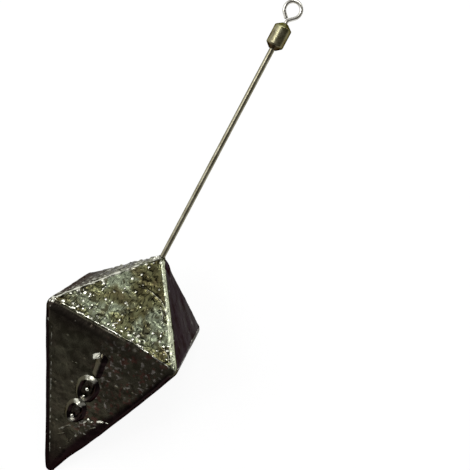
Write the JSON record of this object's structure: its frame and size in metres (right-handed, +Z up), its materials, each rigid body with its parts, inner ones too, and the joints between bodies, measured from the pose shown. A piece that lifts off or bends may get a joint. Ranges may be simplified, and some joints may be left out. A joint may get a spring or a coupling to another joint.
{
  "type": "fishing sinker",
  "caption": "Square double-pyramid lead fishing sinker cast round a long wire stem, with a barrel swivel and a closed wire eye for the line.",
  "frame": {"origin": "middle of the long lower face that the sinker rests on", "axes": "+Z up off the resting face; +X along the resting face, from the lead's tip towards the stem and the line eye; +Y across it"},
  "size_m": [0.088, 0.0234, 0.0303],
  "materials": {
    "cast_lead": "as-cast lead, dark and glossy with bright worn edges",
    "stem_brass": "drawn wire, dulled",
    "barrel_brass": "turned and pressed, dulled",
    "eye_nickel": "bright plated wire"
  },
  "bodies": {
    "sinker": {"lead_weight": "cast_lead", "stem_wire": "stem_brass"},
    "barrel": {"swivel_barrel": "barrel_brass"},
    "eye": {"swivel_eye": "eye_nickel"}
  },
  "joints": [
    {"name": "barrel_spin", "type": "hinge", "parent": "sinker", "child": "barrel", "pos_m": [0.05644, 0, 0.0274], "axis": [0.9477, 0, 0.319], "continuous": true},
    {"name": "eye_spin", "type": "hinge", "parent": "barrel", "child": "eye", "pos_m": [0.06056, 0, 0.02879], "axis": [0.9477, 0, 0.319], "continuous": true}
  ]
}
